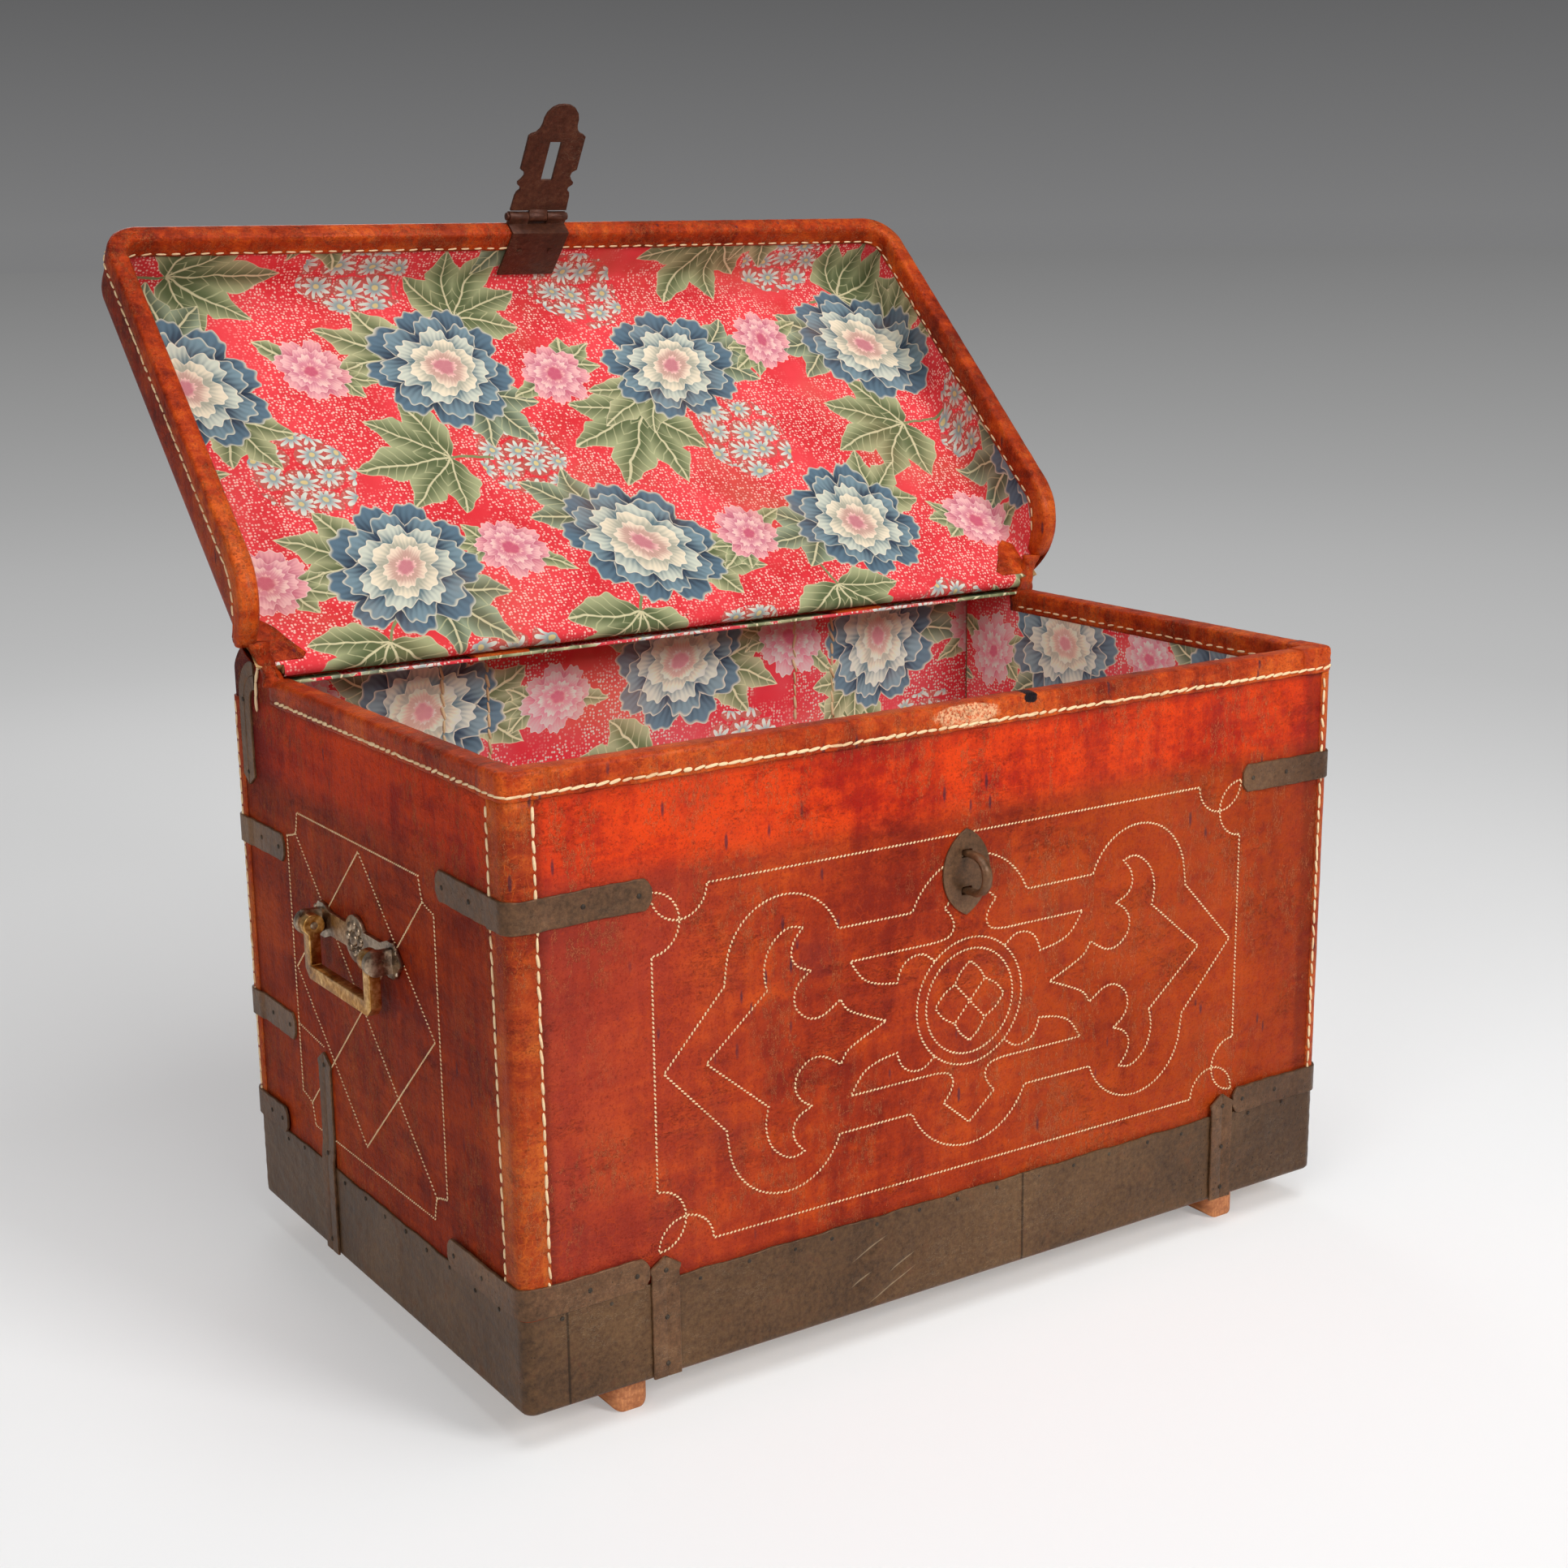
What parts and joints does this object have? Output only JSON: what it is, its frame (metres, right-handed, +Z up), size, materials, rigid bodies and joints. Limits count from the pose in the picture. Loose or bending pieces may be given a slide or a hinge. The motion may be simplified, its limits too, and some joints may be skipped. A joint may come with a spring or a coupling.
{
  "type": "travel trunk",
  "caption": "Leather-covered travel trunk with an open hinged cap lid, iron straps, hasp and staple, brass end handles, printed cotton lining and wooden runners.",
  "frame": {"origin": "on the floor, under the middle of the whole trunk's box as it stands with its lid open", "axes": "+X to the right along the trunk's front, +Y from its front to its back, +Z up"},
  "size_m": [0.706, 0.6221, 0.811],
  "materials": {
    "pine_board": "bare",
    "red_leather": "worn, waxed",
    "trim_leather": "worn, waxed",
    "cotton_lining": "printed cotton",
    "band_iron": "dark, worn",
    "strap_iron": "dark, worn",
    "hasp_iron": "rust brown, worn",
    "aged_brass": "aged",
    "runner_wood": "varnished"
  },
  "bodies": {
    "trunk": {"floor_board": "pine_board", "front_board": "pine_board", "left_end_board": "pine_board", "right_end_board": "pine_board", "back_board": "pine_board", "shoulder_board": "pine_board", "front_leather": "red_leather", "left_leather": "red_leather", "right_leather": "red_leather", "back_leather": "red_leather", "corner_strip_front_left": "trim_leather", "corner_strip_front_right": "trim_leather", "corner_strip_back_left": "trim_leather", "corner_strip_back_right": "trim_leather", "rim_binding": "trim_leather", "hinge_strap_left": "trim_leather", "hinge_strap_right": "trim_leather", "lining_walls": "cotton_lining", "lining_floor": "cotton_lining", "band_front": "band_iron", "band_back": "band_iron", "band_left": "band_iron", "band_right": "band_iron", "upper_iron_front_left": "strap_iron", "upper_iron_front_right": "strap_iron", "base_iron_front_left": "strap_iron", "base_iron_front_right": "strap_iron", "upper_iron_back_left": "strap_iron", "upper_iron_back_right": "strap_iron", "lower_iron_back_left": "strap_iron", "lower_iron_back_right": "strap_iron", "base_iron_back_left": "strap_iron", "base_iron_back_right": "strap_iron", "front_post_left": "strap_iron", "front_post_right": "strap_iron", "side_post_left": "strap_iron", "side_post_right": "strap_iron", "shoulder_iron_left": "strap_iron", "shoulder_iron_right": "strap_iron", "strap_nails": "hasp_iron", "staple": "hasp_iron", "staple_plate": "hasp_iron", "handle_plate_left": "aged_brass", "handle_plate_right": "aged_brass", "runner_left": "runner_wood", "runner_right": "runner_wood"},
    "lid": {"lid_top_board": "pine_board", "lid_front_rail": "pine_board", "lid_left_rail": "pine_board", "lid_right_rail": "pine_board", "lid_leather": "red_leather", "lid_lining": "cotton_lining", "lid_rim_binding": "trim_leather", "hasp_leaf": "hasp_iron", "hasp_pin": "hasp_iron", "hasp_rivets": "hasp_iron"},
    "hasp": {"hasp_plate": "hasp_iron"},
    "handle_left": {"bail_left": "aged_brass"},
    "handle_right": {"bail_right": "aged_brass"}
  },
  "joints": [
    {"name": "lid_hinge", "type": "hinge", "parent": "trunk", "child": "lid", "pos_m": [0, 0.05795, 0.428], "axis": [-1, 0, 0], "range_deg": [-136.3, 0]},
    {"name": "hasp_hinge", "type": "hinge", "parent": "lid", "child": "hasp", "pos_m": [0, 0.27447, 0.72648], "axis": [-1, 0, 0], "range_deg": [-17, 142]},
    {"name": "handle_left_hinge", "type": "hinge", "parent": "trunk", "child": "handle_left", "pos_m": [-0.343, -0.06905, 0.27], "axis": [0, 1, 0], "range_deg": [-10, 170]},
    {"name": "handle_right_hinge", "type": "hinge", "parent": "trunk", "child": "handle_right", "pos_m": [0.343, -0.06905, 0.27], "axis": [0, -1, 0], "range_deg": [-10, 170]}
  ]
}
